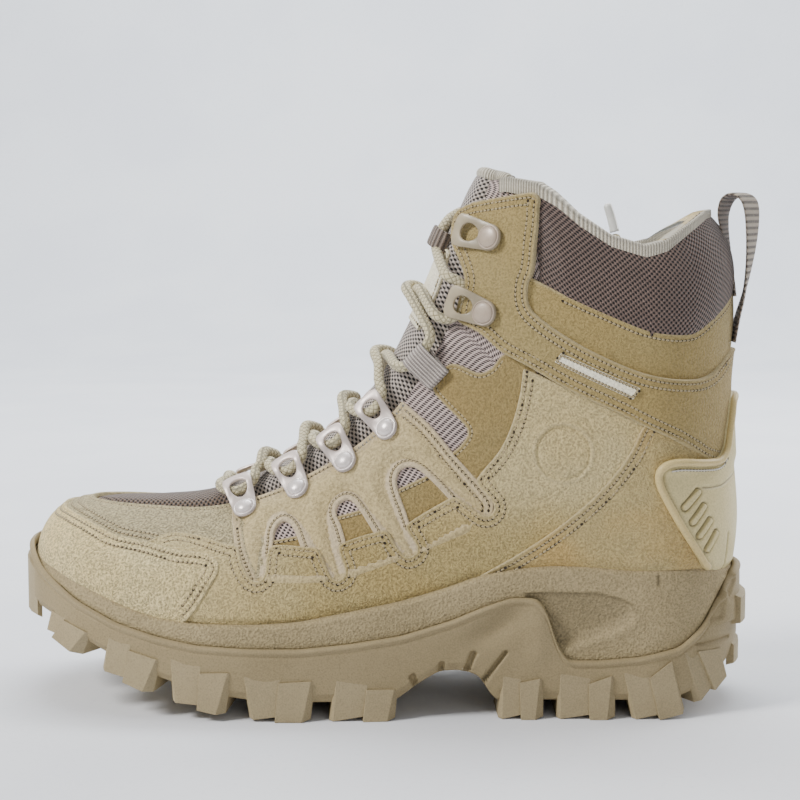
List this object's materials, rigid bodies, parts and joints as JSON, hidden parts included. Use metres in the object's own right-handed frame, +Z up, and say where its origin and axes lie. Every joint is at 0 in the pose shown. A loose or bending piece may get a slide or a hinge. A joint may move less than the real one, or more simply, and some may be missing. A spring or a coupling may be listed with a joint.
{
  "type": "lace-up boot",
  "caption": "Mid-height lace-up field boot for the left foot: suede and mesh upper, padded collar, deep cup midsole and lugged sole, standing empty.",
  "frame": {"origin": "on the floor under the middle of the boot's length and width", "axes": "-X to the toe, +X to the heel, +Z up, -Y the outer side of the left foot, +Y the inner side"},
  "size_m": [0.3104, 0.118, 0.2197],
  "materials": {
    "suede": "napped suede, warm tan",
    "mesh_fabric": "open knitted mesh, taupe",
    "midsole_foam": "matt moulded foam, fine grain",
    "outsole_rubber": "matt moulded rubber, olive tan",
    "lining": "light grey ribbed lining",
    "counter_moulding": "satin moulded rubber-like plastic",
    "hardware_metal": "pale satin metal",
    "webbing": "ribbed woven webbing",
    "lace_cord": "braided round cord, cream",
    "lace_tip": "clear shrunk tube"
  },
  "bodies": {
    "root": {"outsole": "outsole_rubber", "midsole": "midsole_foam", "insole": "lining", "upper": "suede", "heel_counter": "counter_moulding", "tongue": "mesh_fabric", "tongue_keeper": "webbing", "pull_loop": "webbing", "hook_in_1": "hardware_metal", "hook_in_2": "hardware_metal", "hook_out_1": "hardware_metal", "hook_out_2": "hardware_metal", "lace_bar": "lace_cord", "lace_cross_1": "lace_cord", "lace_cross_2": "lace_cord", "lace_cross_3": "lace_cord", "lace_cross_4": "lace_cord", "lace_cross_5": "lace_cord", "lace_cross_6": "lace_cord", "lace_end": "lace_cord", "lace_ring_in_1": "hardware_metal", "lace_ring_in_2": "hardware_metal", "lace_ring_in_3": "hardware_metal", "lace_ring_in_4": "hardware_metal", "lace_ring_out_1": "hardware_metal", "lace_ring_out_2": "hardware_metal", "lace_ring_out_3": "hardware_metal", "lace_ring_out_4": "hardware_metal", "lace_tip": "lace_tip", "web_loop_in": "webbing", "web_loop_out": "webbing"}
  },
  "joints": []
}
